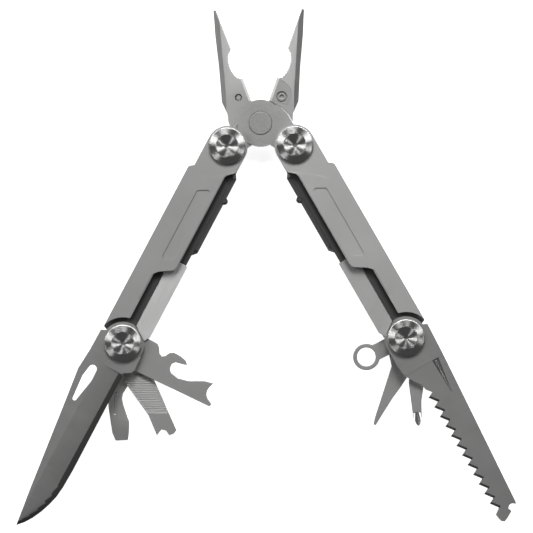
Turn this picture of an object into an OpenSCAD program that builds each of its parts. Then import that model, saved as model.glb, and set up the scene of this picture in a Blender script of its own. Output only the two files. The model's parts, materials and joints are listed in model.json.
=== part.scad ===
// Folding multi tool: pliers with two pivoting handles that carry the small tools.
// It lies flat, opened out: +Z is up through its thickness, +Y is towards the jaw tips.
// The origin is under the middle of its outline, on the surface that it rests on.

/* [Pliers] */
// Pliers pivot to jaw tip
jaw_length = 49.0; // [38:0.1:62]
// Width of a jaw at its shoulder, from the gripping line outwards
jaw_width = 11.4; // [9.6:0.1:14]
// Radius of the lapped hub
hub_r = 9.4; // [8:0.1:10.5]
// Pliers pivot to handle pivot
tang_reach = 16.3; // [15:0.1:20]
// Radius of the eye at the end of each tang
tang_eye_r = 7.0; // [5:0.1:7.4]
// Angle of the left jaw from straight up
left_jaw_angle = 21.3; // [15:0.1:30]
// Angle of the right jaw from straight up
right_jaw_angle = 19.5; // [15:0.1:30]
// Direction from the pliers pivot to the left handle pivot, counter-clockwise from +X
left_tang_dir = 215.2; // [212:0.1:218]
// Direction from the pliers pivot to the right handle pivot, counter-clockwise from +X
right_tang_dir = 327.2; // [324:0.1:330]
// Radius of the pliers rivet shank
rivet_r = 3.0; // [2:0.1:4]
// Radius of the pliers rivet heads
rivet_head_r = 4.6; // [4.2:0.1:5.2]

/* [Handles] */
// Upper pivot to lower pivot
pivot_span = 89.2; // [72:0.1:110]
// Direction of the left handle, counter-clockwise from +X
left_handle_dir = 242.1; // [236:0.1:250]
// Direction of the right handle, counter-clockwise from +X
right_handle_dir = 300; // [290:0.1:304]
// Handle axis to its outer edge
outer_w = 10.0; // [9:0.1:12]
// Handle axis to the outside of the spine wall
inner_w = 9.4; // [8.6:0.1:9.5]
// Thickness of the spine wall
spine_t = 1.6; // [1:0.1:2]
// Radius of the pivot screw heads
head_r = 7.4; // [6:0.1:7.8]
// Radius of the barrels that everything turns on
barrel_r = 2.6; // [2.2:0.1:3.2]

/* [Layers] */
// Thickness of a pivot screw head
head_t = 1.8; // [1.2:0.1:2.4]
// Thickness of the front and rear covers
plate_t = 1.2; // [1:0.1:1.6]
// Height of the raised panel on the front cover
panel_t = 0.4; // [0.2:0.1:0.6]
// Inside height of the handle channel
channel_h = 7.4; // [6.1:0.1:9]
// Thickness of the lock liner
liner_t = 0.8; // [0.6:0.1:1.2]
// Thickness of the knife and the saw
blade_t = 1.8; // [1.4:0.1:2.4]

/* [Tools] */
// Lower pivot to knife tip
knife_length = 84.4; // [66:0.1:85]
// Lower pivot to saw tip
saw_length = 83.2; // [66:0.1:84]
// Thickness of the left small tools, rear to front: flat driver, file, opener
left_tool_t = [1.8, 1.8, 1.8];
// Thickness of the right small tools, rear to front: awl, lanyard ring, cross driver
right_tool_t = [1.6, 1.2, 2.6];
// Directions that the left small tools point in when open, in the same order
left_tool_dir = [269.4, 295, 334.4];
// Directions that the right small tools point in when open, in the same order
right_tool_dir = [250.5, 206.2, 277.3];
// Radius of the hole in the lanyard ring
ring_hole_r = 3.7; // [3:0.1:4.2]
// Radius of a small tool's round root
tool_root_r = 8.0; // [7:0.1:8]

/* [Fits] */
// Gap between flat faces that slide on each other
face_gap = 0.05; // [0.04:0.01:0.1]
// Radial gap in a bore that turns
bore_gap = 0.05; // [0.02:0.01:0.1]
// Gap between edges that pass each other
edge_gap = 0.3; // [0.2:0.05:0.5]
// Thickness of the thin washers beside the tangs and the blades
thin_washer_t = 0.2; // [0.1:0.05:0.3]

/* [Hidden] */
$fn = 96;
LEFT = -1;
RIGHT = 1;
eps = 0.02;
through = 40;

// Heights of the layers, from the rear screw heads up
z_rear_cover = head_t;
z_channel = z_rear_cover + plate_t;
z_liner = z_channel + channel_h;
z_blade_layer = z_liner + liner_t;
blade_stack = thin_washer_t + 2 * face_gap;
z_blade = z_blade_layer + blade_stack;
z_front_cover = z_blade + blade_t + blade_stack;
z_cover_top = z_front_cover + plate_t;
z_middle = z_channel + channel_h / 2;
tang_t = channel_h - 2 * (thin_washer_t + 2 * face_gap);
z_tang = z_middle - tang_t / 2;

// Pivots
pliers_pivot = [0, 0];
function direction(angle) = [cos(angle), sin(angle)];
function handle_dir(side) = side == LEFT ? left_handle_dir : right_handle_dir;
function tang_dir(side) = side == LEFT ? left_tang_dir : right_tang_dir;
function upper_pivot(side) = tang_reach * direction(tang_dir(side));
function lower_pivot(side) = upper_pivot(side) + pivot_span * direction(handle_dir(side));

// Heights of the small tools: each lies between two washers
function total(list, n) = n == 0 ? 0 : list[n - 1] + total(list, n - 1);
function tools_of(side) = side == LEFT ? left_tool_t : right_tool_t;
function washer_t(side) = (channel_h - total(tools_of(side), 3) - 8 * face_gap) / 4;
function tool_dir(side, n) = (side == LEFT ? left_tool_dir : right_tool_dir)[n];
function level_gap(side) = washer_t(side) + 2 * face_gap;
function tool_z(side, n) = z_channel + total(tools_of(side), n) + (n + 1) * level_gap(side);

// The jaw outline, along the gripping line from the pivot (u) and outwards (v)
grip_gap = edge_gap / 2;
cutter_start = hub_r + 0.4;
cutter_end = 19.6;
cutter_depth = 1.25;
flat_grip_start = 32.3;
pipe_grip_mid = 25.4;
pipe_grip_r = 9.75;
pipe_grip_half_angle = 34;
pipe_grip_depth = 3.2;
pipe_teeth = 10;
flat_teeth = 17;
tooth_depth = 0.5;
jaw_tip_t = 4.4;
jaw_tip_w = 1.3;
jaw_shoulder = 13.5;
jaw_taper_start = 16;
jaw_chamfer_w = 1.8;
jaw_chamfer_h = 1.1;

function pipe_point(i) = let (
    angle = -pipe_grip_half_angle + 2 * pipe_grip_half_angle * i / (2 * pipe_teeth),
    r = pipe_grip_r + (i % 2) * tooth_depth
) [pipe_grip_mid + r * sin(angle), pipe_grip_depth - pipe_grip_r + r * cos(angle)];
function flat_point(i) = [
    flat_grip_start + (jaw_length - 0.6 - flat_grip_start) * i / (2 * flat_teeth),
    grip_gap + (i % 2) * tooth_depth
];
jaw_outline = concat(
    [[0, grip_gap], [cutter_start, grip_gap], [cutter_start, cutter_depth], [cutter_end, cutter_depth]],
    [for (i = [0 : 2 * pipe_teeth]) pipe_point(i)],
    [for (i = [0 : 2 * flat_teeth]) flat_point(i)],
    [[jaw_length, 0.6], [jaw_length - 0.2, jaw_tip_w], [38.7, 0.38 * jaw_width], [26.4, 0.66 * jaw_width],
     [jaw_shoulder, jaw_width], [8, jaw_width - 0.4], [5.4, jaw_width + 0.4], [2.6, jaw_width + 0.6],
     [2.6, 8.1]]
);

// Knife and saw outlines, from the lower pivot towards the tip (x), towards the spine (y)
blade_root_r = 8.6;
knife_tip_at = 8;
knife_heel_at = 16;
knife_outline = [
    [-3, 5], [-0.7, 10.4], [8.2, 10.5], [17.1, 11.2], [30.5, 9.7], [48.3, 7.8], [knife_length - 14.8, 5.5],
    [knife_length - 6, 4.4], [knife_length, 3.7], [knife_length - 2.6, 1.3], [knife_length - 5.6, -0.7],
    [knife_length - 9.4, -2.6], [knife_length - 13.4, -4.1], [knife_length - 17.4, -5.2],
    [knife_length - 22, -5.8], [knife_length - 30, -6.1], [11.8, -6], [11, -5.6],
    [10, -6.2], [9.6, -7.4], [8.7, -8.6], [7.3, -9.2], [1.5, -8.9], [0, -5]
];
saw_tooth_pitch = 4.45;
saw_tooth_depth = 2.4;
saw_gullet = 0.72 * saw_tooth_pitch;
saw_tooth_start = 25.3;
saw_tooth_tip_y = -4.2;
saw_teeth = floor((saw_length - 4.5 - saw_tooth_start) / saw_tooth_pitch);
saw_outline = concat(
    [[-3, 5], [-0.6, 10.2], [12.9, 9.6], [saw_length - 4.6, 5.2], [saw_length - 3.7, 4.9],
     [saw_length - 4.7, 3.4], [saw_length - 4.6, 2.2], [saw_length - 3.6, 1.3], [saw_length - 2.1, 1.9],
     [saw_length - 0.5, -0.9], [saw_length + 0.1, -2.6], [saw_length - 0.6, -3.6],
     [saw_length - 1.8, -4], [saw_length - 3.9, -4.3]],
    [for (i = [saw_teeth - 1 : -1 : 0], s = [0 : 1])
        let (x = saw_tooth_start + i * saw_tooth_pitch)
        s == 0 ? [x + saw_gullet, saw_tooth_tip_y + saw_tooth_depth]
               : [x, saw_tooth_tip_y]],
    [[saw_tooth_start - 1.2, saw_tooth_tip_y + saw_tooth_depth], [21.8, -3.6], [19.4, -4], [16.4, -6.2],
     [12.9, -8.2], [9, -8.6], [1.5, -8.7], [0, -5]]
);

// The outline decides where the origin goes: under the middle of its box
function in_plane(p, origin, angle, flip) = origin + [
    p.x * cos(angle) - flip * p.y * sin(angle),
    p.x * sin(angle) + flip * p.y * cos(angle)
];
knife_reach = [for (p = knife_outline) in_plane(p, lower_pivot(LEFT), left_handle_dir, -1)];
saw_reach = [for (p = saw_outline) in_plane(p, lower_pivot(RIGHT), right_handle_dir, 1)];
jaw_reach = [
    for (p = jaw_outline) in_plane(p, pliers_pivot, 90 + left_jaw_angle, 1),
    for (p = jaw_outline) in_plane(p, pliers_pivot, 90 - right_jaw_angle, -1)
];
outermost = concat(knife_reach, saw_reach, jaw_reach);
box_low = [min([for (p = outermost) p.x]), min([for (p = outermost) p.y])];
box_high = [max([for (p = outermost) p.x]), max([for (p = outermost) p.y])];
box_middle = (box_low + box_high) / 2;

// The small tools by their number, from the rear
FLAT_DRIVER = 0;
FILE = 1;
OPENER = 2;
AWL = 0;
LANYARD_RING = 1;
CROSS_DRIVER = 2;

// Places: everything is drawn round the pliers pivot, then moved onto the origin
module on_origin() { translate([-box_middle.x, -box_middle.y, 0]) children(); }
module in_jaw(side) {
    rotate(side == LEFT ? 90 + left_jaw_angle : 90 - right_jaw_angle)
        mirror([0, side == LEFT ? 0 : 1, 0]) children();
}
module in_handle(side) {
    translate(upper_pivot(side)) rotate(handle_dir(side))
        mirror([0, side == LEFT ? 0 : 1, 0]) children();
}
module at_lower() { translate([pivot_span, 0, 0]) children(); }
module in_blade(side) { in_handle(side) at_lower() mirror([0, 1, 0]) children(); }
module in_tool(side, n) {
    translate(concat(lower_pivot(side), tool_z(side, n))) rotate(tool_dir(side, n)) children();
}
module layer(z, t) { translate([0, 0, z]) linear_extrude(t) children(); }
module bore(r) { translate([0, 0, -through / 2]) cylinder(r = r, h = through); }
module ring(r_out, r_in, z, t) {
    translate([0, 0, z]) difference() {
        cylinder(r = r_out, h = t);
        translate([0, 0, -1]) cylinder(r = r_in, h = t + 2);
    }
}

// ---- Pliers ----

steel = [0.66, 0.67, 0.68];
bright_steel = [0.80, 0.81, 0.82];
satin_steel = [0.58, 0.58, 0.59];
spring_steel = [0.48, 0.49, 0.50];

// A bevel cutter along the jaw's outer edge, on the front side
module jaw_edge_cutter() {
    run = [jaw_length - jaw_shoulder, jaw_tip_w - jaw_width];
    drop = atan((tang_t - jaw_tip_t) / 2 / (jaw_length - jaw_taper_start));
    translate([jaw_shoulder, jaw_width, tang_t / 2 - jaw_chamfer_h]) rotate([0, 0, atan2(run.y, run.x)])
        rotate([0, drop, 0]) translate([-8, 0, 0]) rotate([90, 0, 90]) linear_extrude(norm(run) + 12)
            polygon([
                [jaw_chamfer_w, -jaw_chamfer_h],
                [-1.5 * jaw_chamfer_w, 1.5 * jaw_chamfer_h],
                [jaw_chamfer_w, 2 * jaw_chamfer_h]
            ]);
}

// A jaw of full thickness, drawn about mid height, thinner towards the tip
module jaw_block() {
    difference() {
        intersection() {
            linear_extrude(tang_t, center = true) polygon(jaw_outline);
            rotate([90, 0, 0]) linear_extrude(through, center = true) polygon([
                [-5, -tang_t / 2], [jaw_taper_start, -tang_t / 2], [jaw_length + 1, -jaw_tip_t / 2],
                [jaw_length + 1, jaw_tip_t / 2], [jaw_taper_start, tang_t / 2], [-5, tang_t / 2]
            ]);
        }
        jaw_edge_cutter();
        mirror([0, 0, 1]) jaw_edge_cutter();
    }
}

// The replaceable cutter: an edge strip, and a lug that the screw holds in one face of the jaw
cutter_screw_at = [12.8, 4.5];
cutter_lug_t = 2.2;
cutter_screw_r = 1.65;
cutter_recess_r = 2.25;
cutter_thread_r = 1.4;
cutter_strip_t = 4.8;
module cutter_lug_shape(grow = 0) {
    polygon([
        [cutter_start + 0.2 - grow, cutter_depth], [cutter_end - 0.6 + grow, cutter_depth],
        [cutter_end - 0.5 + grow, 2.4], [18.7 + grow, 3.8 + grow], [17.3 + grow, 6.5 + grow],
        [16.2 + grow, 7.4 + grow], [14.7 + grow, 7.7 + grow], [10.6 - grow, 7.7 + grow]
    ]);
}
module cutter_space() {
    translate([0, 0, tang_t / 2 - cutter_lug_t]) linear_extrude(cutter_lug_t + 1)
        cutter_lug_shape(bore_gap);
    translate([cutter_screw_at.x, cutter_screw_at.y, 0]) bore(cutter_thread_r + bore_gap);
}
module cutter() {
    edge = 0.25;
    rotate([90, 0, 90]) translate([0, 0, cutter_start + bore_gap])
        linear_extrude(cutter_end - cutter_start - 2 * bore_gap) polygon([
            [grip_gap, -edge / 2], [grip_gap, edge / 2], [cutter_depth - bore_gap, cutter_strip_t / 2],
            [cutter_depth - bore_gap, -cutter_strip_t / 2]
        ]);
    difference() {
        translate([0, 0, tang_t / 2 - cutter_lug_t]) linear_extrude(cutter_lug_t - bore_gap)
            union() {
                cutter_lug_shape();
                translate([cutter_start + 0.4, cutter_depth - 2 * bore_gap])
                    square([cutter_end - cutter_start - 1.2, 0.4]);
            }
        translate([cutter_screw_at.x, cutter_screw_at.y, 0]) {
            bore(cutter_thread_r + bore_gap);
            translate([0, 0, tang_t / 2 - 1.2]) cylinder(r = cutter_recess_r, h = 3);
        }
    }
}
module cutter_screw() {
    translate([cutter_screw_at.x, cutter_screw_at.y, 0]) {
        translate([0, 0, -tang_t / 2]) rotate_extrude() polygon([
            [0, 0.9], [cutter_thread_r - 0.5, 0.9], [cutter_thread_r, 1.4], [cutter_thread_r, tang_t - 0.95],
            [0, tang_t - 0.95]
        ]);
        difference() {
            translate([0, 0, tang_t / 2 - 1.2 + face_gap]) cylinder(r = cutter_screw_r, h = 1.1);
            translate([0, 0, tang_t / 2 - 0.9]) for (turn = [0, 30])
                rotate(turn) cylinder(r = 0.95, h = 3, $fn = 6);
        }
    }
}

// The neck of a tang, from the hub to its eye: the right one runs out of the hub in a broad shoulder
neck_w = 5.2;
module neck_shape(side, grow = 0) {
    jaw_edge = side == LEFT ? [[-2, neck_w + grow]] : [
        [-2, hub_r - 0.8 + grow], [3.4, hub_r + 0.4 + grow], [7.2 + grow, hub_r - 0.5 + grow],
        [10.6 + grow, neck_w + 1.9 + grow]
    ];
    tang_edge = [[tang_reach, neck_w + grow], [tang_reach, -neck_w - grow]];
    rotate(tang_dir(side)) mirror([0, side == LEFT ? 1 : 0])
        polygon(concat([[-2, -neck_w - grow]], jaw_edge, tang_edge));
}

// One half of the pliers: the jaw on one side and the tang on the other, lapped at the hub
module pliers_half(jaw_side, front) {
    lap_z = front ? face_gap : -tang_t / 2;
    other_z = front ? -tang_t : -face_gap;
    translate([0, 0, z_middle]) difference() {
        union() {
            difference() {
                union() {
                    difference() {
                        in_jaw(jaw_side) jaw_block();
                        linear_extrude(through, center = true) neck_shape(jaw_side, edge_gap);
                    }
                    linear_extrude(tang_t, center = true) neck_shape(-jaw_side);
                    translate(concat(upper_pivot(-jaw_side), 0))
                        cylinder(r = tang_eye_r, h = tang_t, center = true);
                }
                translate([0, 0, other_z]) cylinder(r = hub_r + edge_gap, h = tang_t + face_gap);
            }
            translate([0, 0, lap_z]) cylinder(r = hub_r, h = tang_t / 2 - face_gap);
        }
        rivet_space();
        translate(concat(upper_pivot(-jaw_side), 0)) bore(barrel_r + bore_gap);
        in_jaw(jaw_side) mirror([0, 0, front ? 1 : 0]) cutter_space();
    }
}

module rear_jaw() { color(steel) on_origin() pliers_half(RIGHT, false); }
module front_jaw() { color(steel) on_origin() pliers_half(LEFT, true); }

// The rivet's flat heads are sunk in the hub, and stand a little proud of it
rivet_sink = 0.5;
rivet_ring_gap = 0.2;
module rivet_space() {
    bore(rivet_r + bore_gap);
    for (face = [-tang_t / 2, tang_t / 2])
        translate([0, 0, face - rivet_sink]) cylinder(r = rivet_head_r + rivet_ring_gap, h = 2 * rivet_sink);
}
module pivot_rivet() {
    head_h = 0.6;
    rim = 0.12;
    z_low = z_tang + rivet_sink - face_gap;
    z_high = z_tang + tang_t - rivet_sink + face_gap;
    color(bright_steel) on_origin() rotate_extrude() polygon([
        [0, z_low - head_h], [rivet_head_r - rim, z_low - head_h], [rivet_head_r, z_low - head_h + rim],
        [rivet_head_r, z_low], [rivet_r, z_low], [rivet_r, z_high], [rivet_head_r, z_high],
        [rivet_head_r, z_high + head_h - rim], [rivet_head_r - rim, z_high + head_h],
        [0, z_high + head_h]
    ]);
}

module in_jaw_face(side) {
    on_origin() translate([0, 0, z_middle]) in_jaw(side) mirror([0, 0, side == LEFT ? 1 : 0]) children();
}
module left_cutter() { color(satin_steel) in_jaw_face(LEFT) cutter(); }
module right_cutter() { color(satin_steel) in_jaw_face(RIGHT) cutter(); }
module left_cutter_screw() { color(bright_steel) in_jaw_face(LEFT) cutter_screw(); }
module right_cutter_screw() { color(bright_steel) in_jaw_face(RIGHT) cutter_screw(); }

// ---- Handles: drawn from the upper pivot (x = 0) to the lower one, +y inwards ----

cover_eye_r = 8.1;
spine_start = 10;
cover_step = 14.2;
cover_inner_w = 5;
cover_shoulder = pivot_span - 37.2;
strip_w = 2.15;
strip_start = cover_shoulder + 7.3;
strip_end = pivot_span - 10.4;
corner_x = pivot_span - 1.7;
blade_window_r = 10.4;
leaf_root = pivot_span - 39.2;
spine_end = leaf_root - 7.5;
leaf_inner_w = 8.5;
leaf_outer_w = 1.4;
leaf_tip = pivot_span - 4.6;
liner_eye_r = 7.4;

module pivot_bores(r = barrel_r + bore_gap) {
    bore(r);
    at_lower() bore(r);
}

module front_cover_shape() {
    difference() {
        union() {
            circle(r = cover_eye_r);
            polygon([
                [0, -cover_eye_r], [cover_step - 1.4, -cover_eye_r], [cover_step - 0.4, -outer_w + 0.5],
                [cover_step + 0.4, -outer_w], [corner_x, -outer_w], [corner_x, -outer_w + 0.8],
                [strip_end, -strip_w], [strip_start, -strip_w],
                [strip_start - 1.2, -1.7], [strip_start - 2.2, -0.5], [cover_shoulder + 2.3, 4.2],
                [cover_shoulder + 1.4, 4.8], [cover_shoulder, cover_inner_w],
                [11.6, cover_inner_w], [10.4, 5.5], [8.4, 7.6], [7.4, cover_eye_r], [0, cover_eye_r]
            ]);
        }
        at_lower() circle(r = blade_window_r);
    }
}

panel_outline = [
    [8, 7.8], [16.1, -2.8], [18.3, -4.8], [21.6, -5.5], [strip_end - 12, -5.8],
    [strip_end - 8.4, -2.6], [strip_start, -2.6], [strip_start - 2.2, -0.7],
    [cover_shoulder + 2.1, 4], [cover_shoulder + 1.2, 4.5], [cover_shoulder, cover_inner_w - 0.3],
    [11.7, cover_inner_w - 0.3], [10.4, 5.3], [8.4, 7.5]
];

// The long finger recess in the panel, with slanted round ends
recess_start = 20.3;
recess_end = cover_shoulder - 1.5;
recess_depth = 0.55;
module recess_shape() {
    corner_r = 1.2;
    hull() for (p = [[recess_start, 1.6], [recess_start + 1.6, -1.2],
                     [recess_end, -1.2], [recess_end - 1.6, 1.6]])
        translate(p) circle(r = corner_r, $fn = 32);
}

module front_cover(side) {
    color(satin_steel) on_origin() in_handle(side) difference() {
        union() {
            layer(z_front_cover, plate_t) front_cover_shape();
            layer(z_cover_top - eps, panel_t + eps) polygon(panel_outline);
        }
        bore(barrel_r + bore_gap);
        layer(z_cover_top + panel_t - recess_depth, 2) recess_shape();
    }
}

module rear_cover_shape() {
    circle(r = cover_eye_r);
    at_lower() circle(r = cover_eye_r);
    polygon([
        [0, -cover_eye_r], [cover_step - 1.4, -cover_eye_r], [cover_step - 0.4, -outer_w + 0.5],
        [cover_step + 0.4, -outer_w], [pivot_span - 2.4, -outer_w], [pivot_span - 1.4, -cover_eye_r],
        [pivot_span, cover_eye_r - 0.5], [spine_end + 3, cover_eye_r - 0.5], [spine_end + 1, inner_w],
        [spine_start, inner_w], [spine_start - 2, cover_eye_r], [0, cover_eye_r]
    ]);
}
module rear_cover(side) {
    color(satin_steel) on_origin() in_handle(side) difference() {
        layer(z_rear_cover, plate_t) rear_cover_shape();
        pivot_bores();
        rivet_bore(spring_rivet);
    }
}

// The spine closes the inner side of the channel beside the folded jaws
module spine(side) {
    color(steel) on_origin() in_handle(side) difference() {
        layer(z_channel, z_blade_layer - z_channel) {
            polygon([
                [spine_start, inner_w - spine_t], [spine_end, inner_w - spine_t],
                [spine_end, inner_w - 0.5], [spine_end - 1, inner_w], [spine_start, inner_w]
            ]);
            translate(spine_rivet) circle(r = spine_boss_r);
        }
        rivet_bore(spine_rivet);
    }
}

// The liner is the channel's front wall, cut away beside the leaf that locks the blade
module lock_liner_shape() {
    circle(r = cover_eye_r);
    at_lower() circle(r = liner_eye_r);
    polygon([
        [0, -cover_eye_r], [cover_step - 1.4, -cover_eye_r], [cover_step - 0.4, -outer_w + 0.5],
        [cover_step + 0.4, -outer_w], [pivot_span - 2.4, -outer_w], [pivot_span - 1.4, -liner_eye_r],
        [pivot_span, leaf_outer_w - edge_gap], [leaf_root - face_gap, leaf_outer_w - edge_gap],
        [leaf_root - face_gap, inner_w - spine_t],
        [spine_start - 1, inner_w - spine_t], [spine_start - 2, cover_eye_r], [0, cover_eye_r]
    ]);
}
module lock_liner(side) {
    color(steel) on_origin() in_handle(side) difference() {
        layer(z_liner, liner_t) lock_liner_shape();
        pivot_bores();
        layer(z_liner - 1, liner_t + 2) translate(spine_rivet) circle(r = spine_boss_r);
        rivet_bore(spring_rivet);
        layer(z_liner - 1, liner_t + 2) leaf_shape(edge_gap);
    }
}
module leaf_shape(grow = 0) {
    root = leaf_root + (grow > 0 ? 1 : 0);
    polygon([
        [root, leaf_outer_w - grow], [root, leaf_inner_w + grow],
        [leaf_tip - 2.5, leaf_inner_w + grow], [leaf_tip + grow, 7 + grow],
        [leaf_tip - 2.5 + grow, 3.3], [leaf_tip - 4 + grow, leaf_outer_w - grow]
    ]);
}
module lock_leaf(side) {
    color(spring_steel) on_origin() in_handle(side) layer(z_liner, liner_t) leaf_shape();
}

// The spacer holds the blade slot open along the outer edge
module blade_spacer(side) {
    color(satin_steel) on_origin() in_handle(side)
        layer(z_blade_layer, z_front_cover - z_blade_layer) polygon([
            [cover_step + 1, -outer_w + 0.4], [strip_start + 4, -outer_w + 0.4],
            [strip_start + 4, -outer_w + 2.6], [cover_step + 1, -outer_w + 2.6]
        ]);
}

// A comb spring that bears on the small tools' roots, one finger for each tool
spring_end = pivot_span - 4;
spring_root = pivot_span - 28;
spring_t = 1.1;
spring_rivet = [spring_root + 2, -outer_w + 1.7];
module tool_spring(side) {
    side_gap = 0.15;
    color(spring_steel) on_origin() in_handle(side) difference() {
        layer(z_channel + side_gap, channel_h - 2 * side_gap) polygon([
            [spring_root, -outer_w + 0.3], [spring_end, -outer_w + 0.3],
            [spring_end, -outer_w + 0.3 + spring_t], [spring_root + 5, -outer_w + 0.3 + spring_t],
            [spring_root + 4, -outer_w + 3.1], [spring_root, -outer_w + 3.1]
        ]);
        for (n = [1, 2])
            translate([spring_root + 5.5, -outer_w - 1, tool_z(side, n) - level_gap(side)])
                cube([30, 5, level_gap(side)]);
        rivet_bore(spring_rivet);
    }
}

// One rivet stands in the spine's boss, and one holds the foot of the spring
small_rivet_r = 0.8;
spine_boss_r = 1.4;
spine_rivet = [20, inner_w - 0.2];
module rivet_bore(place) { translate(place) bore(small_rivet_r + bore_gap); }
module rivets(side) {
    color(bright_steel) on_origin() in_handle(side) {
        translate([spine_rivet.x, spine_rivet.y, z_channel])
            cylinder(r = small_rivet_r, h = z_blade_layer + 0.8 - z_channel);
        translate([spring_rivet.x, spring_rivet.y, z_rear_cover])
            cylinder(r = small_rivet_r, h = z_blade_layer - z_rear_cover);
    }
}

// ---- Pivot screws: a headed barrel from the rear, a headed screw from the front ----

thread_r = 1.6;
blind_floor = 1;
socket_r = 1.5;
edge_chamfer = 0.35;
dish_r = 0.6 * head_r;
dish_depth = 0.15;

module pivot_nut(stack_top) {
    barrel_top = stack_top - face_gap;
    rotate_extrude() polygon([
        [0, 0], [head_r - edge_chamfer, 0], [head_r, edge_chamfer], [head_r, head_t], [barrel_r, head_t],
        [barrel_r, barrel_top], [thread_r, barrel_top], [thread_r, head_t + blind_floor],
        [0, head_t + blind_floor]
    ]);
}
module pivot_screw(stack_top) {
    top = stack_top + head_t;
    thread_end = head_t + blind_floor + 0.5;
    difference() {
        rotate_extrude() polygon([
            [0, thread_end], [thread_r - bore_gap, thread_end], [thread_r - bore_gap, stack_top],
            [head_r, stack_top], [head_r, top - edge_chamfer], [head_r - edge_chamfer, top],
            [dish_r + dish_depth, top], [dish_r, top - dish_depth], [0, top - dish_depth]
        ]);
        translate([0, 0, top - 1]) cylinder(r = socket_r, h = 2, $fn = 6);
    }
}

module upper_nut(side) { color(bright_steel) on_origin() in_handle(side) pivot_nut(z_cover_top); }
module lower_nut(side) {
    color(bright_steel) on_origin() in_handle(side) at_lower() pivot_nut(z_front_cover);
}
module upper_screw(side) { color(bright_steel) on_origin() in_handle(side) pivot_screw(z_cover_top); }
module lower_screw(side) {
    color(bright_steel) on_origin() in_handle(side) at_lower() pivot_screw(z_front_cover);
}

washer_r = 5.3;
module washer(z, t) { ring(washer_r, barrel_r + bore_gap, z, t); }

// Two thin washers beside the tang, and the collar that holds the blade slot open
module upper_washers(side) {
    color(steel) on_origin() in_handle(side) {
        washer(z_channel + face_gap, thin_washer_t);
        washer(z_liner - face_gap - thin_washer_t, thin_washer_t);
        washer(z_blade_layer, z_front_cover - z_blade_layer);
    }
}
// Four washers between the small tools, and two beside the blade
module lower_washers(side) {
    color(steel) on_origin() in_handle(side) at_lower() {
        for (n = [0 : 3]) washer(tool_z(side, n) - face_gap - washer_t(side), washer_t(side));
        washer(z_blade_layer + face_gap, thin_washer_t);
        washer(z_front_cover - face_gap - thin_washer_t, thin_washer_t);
    }
}

// ---- Blades ----

// A wedge that thins a blade towards its edge, from the plunge line to beyond the tip
module grind(start, from_y, to_y, edge_t) {
    half = blade_t / 2;
    translate([start, 0, 0]) rotate([90, 0, 90]) linear_extrude(100) polygon([
        [from_y, half], [to_y, edge_t / 2],
        [to_y - 3, edge_t / 2 - (half - edge_t / 2) * 3 / (from_y - to_y)],
        [to_y - 3, half + 1], [from_y, half + 1]
    ]);
}
function grind_half(y, from_y, to_y) =
    (knife_edge_t + (blade_t - knife_edge_t) * max(0, min(1, (y - to_y) / (from_y - to_y)))) / 2;

// The sharpened bevel along one stretch of an edge, whose blade lies to the right from a to b
module edge_bevel(a, b, w, half) {
    run = b - a;
    slope = half / w;
    translate(concat(a, 0)) rotate([0, 0, atan2(run.y, run.x)]) rotate([90, 0, 90])
        translate([0, 0, -0.3]) linear_extrude(norm(run) + 0.6)
            polygon([[0.5, 0.04 - 0.5 * slope], [-2 * w, 0.04 + 2 * w * slope], [0.5, half + 2]]);
}
module both_faces() {
    children();
    mirror([0, 0, 1]) children();
}

// A blade with its round root, notched where the lock leaf stands behind it
module blade_blank() {
    difference() {
        union() {
            cylinder(r = blade_root_r, h = blade_t, center = true);
            linear_extrude(blade_t, center = true) children();
        }
        mirror([0, 1, 0]) translate([-pivot_span, 0, 0])
            linear_extrude(through, center = true) leaf_shape(edge_gap);
    }
}

knife_edge_t = 0.3;
module knife() {
    grind_y = 4;
    plunge_x = 11.2;
    edge_y = -6;
    bevel_w = 1.15;
    color(steel) on_origin() in_blade(LEFT) translate([0, 0, z_blade + blade_t / 2]) difference() {
        blade_blank() polygon(knife_outline);
        bore(barrel_r + bore_gap);
        linear_extrude(through, center = true) hull() {
            translate([14.8, 5.9]) circle(r = 1.7, $fn = 48);
            translate([19, 6.2]) circle(r = 2.1, $fn = 48);
            translate([28.6, 6.8]) circle(r = 0.8, $fn = 48);
        }
        both_faces() grind(plunge_x, grind_y, edge_y, knife_edge_t);
        both_faces() for (i = [knife_tip_at : knife_heel_at - 1])
            edge_bevel(knife_outline[i], knife_outline[i + 1], bevel_w,
                grind_half(knife_outline[i + 1].y, grind_y, edge_y));
    }
}

module saw() {
    ricasso_x = 13.1;
    ricasso_step = 0.12;
    tooth_bevel_w = 0.9;
    tooth_bevel_h = 0.7;
    nick_half_w = 1.5;
    nick_depth = 0.9;
    color(satin_steel) on_origin() in_blade(RIGHT) translate([0, 0, z_blade + blade_t / 2])
        difference() {
            blade_blank() polygon(saw_outline);
            bore(barrel_r + bore_gap);
            both_faces() translate([ricasso_x, -20, blade_t / 2 - ricasso_step]) cube([100, 40, 1]);
            for (i = [0 : saw_teeth - 1])
                let (x = saw_tooth_start + i * saw_tooth_pitch)
                edge_bevel([x + saw_gullet, saw_tooth_tip_y + saw_tooth_depth], [x, saw_tooth_tip_y],
                    tooth_bevel_w, tooth_bevel_h);
            translate([13.2, 6, blade_t / 2 - nick_depth]) rotate([0, -2.8, -4]) rotate([90, 0, 90])
                linear_extrude(20) polygon([
                    [0, 0], [nick_half_w, nick_depth], [nick_half_w, 4], [-nick_half_w, 4],
                    [-nick_half_w, nick_depth]
                ]);
        }
}

// ---- Small tools: drawn from the lower pivot along +x, +y to the left of the way they point ----

module small_tool(side, n) {
    t = tools_of(side)[n];
    color(satin_steel) on_origin() in_tool(side, n) difference() {
        union() {
            cylinder(r = tool_root_r, h = t);
            linear_extrude(t) children();
        }
        bore(barrel_r + bore_gap);
    }
}

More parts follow.
